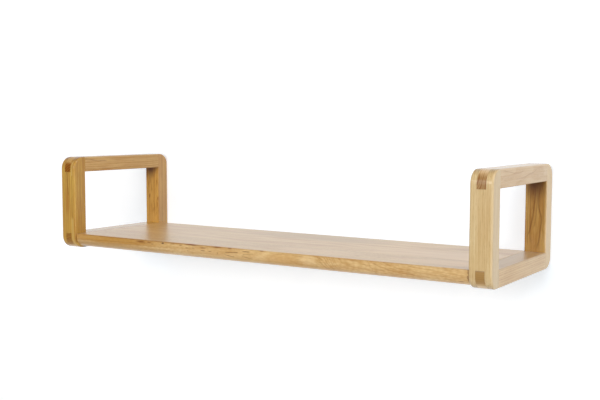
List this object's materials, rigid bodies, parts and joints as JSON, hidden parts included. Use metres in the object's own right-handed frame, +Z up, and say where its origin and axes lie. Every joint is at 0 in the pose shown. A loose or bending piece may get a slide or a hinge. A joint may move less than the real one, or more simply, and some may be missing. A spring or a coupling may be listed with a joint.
{
  "type": "wall shelf",
  "caption": "Oak wall shelf: a rounded-edge board carried between two bridle-jointed rectangular end frames, hung on hidden keyhole plates.",
  "frame": {"origin": "under the middle of the shelf, level with the underside of the end frames", "axes": "+X along the shelf to the right as seen from the room, +Y towards the wall, +Z up"},
  "size_m": [0.8, 0.245, 0.16],
  "materials": {
    "frame_oak": "satin clear-lacquered oak, golden, with open pores and darker end grain",
    "board_oak": "satin clear-lacquered oak, straight grain along the board",
    "dowel_beech": "bare beech",
    "plate_steel": "zinc-plated sheet steel",
    "screw_steel": "zinc-plated screws"
  },
  "bodies": {
    "root": {"left_front_stile": "frame_oak", "left_rear_stile": "frame_oak", "left_top_rail": "frame_oak", "left_bottom_rail": "frame_oak", "right_front_stile": "frame_oak", "right_rear_stile": "frame_oak", "right_top_rail": "frame_oak", "right_bottom_rail": "frame_oak", "front_stave": "board_oak", "middle_stave": "board_oak", "rear_stave": "board_oak", "left_dowel_1": "dowel_beech", "left_dowel_2": "dowel_beech", "left_dowel_3": "dowel_beech", "left_dowel_4": "dowel_beech", "left_dowel_5": "dowel_beech", "left_dowel_6": "dowel_beech", "right_dowel_1": "dowel_beech", "right_dowel_2": "dowel_beech", "right_dowel_3": "dowel_beech", "right_dowel_4": "dowel_beech", "right_dowel_5": "dowel_beech", "right_dowel_6": "dowel_beech", "left_keyhole_plate": "plate_steel", "right_keyhole_plate": "plate_steel", "left_lower_plate_screw": "screw_steel", "left_upper_plate_screw": "screw_steel", "right_lower_plate_screw": "screw_steel", "right_upper_plate_screw": "screw_steel"}
  },
  "joints": []
}
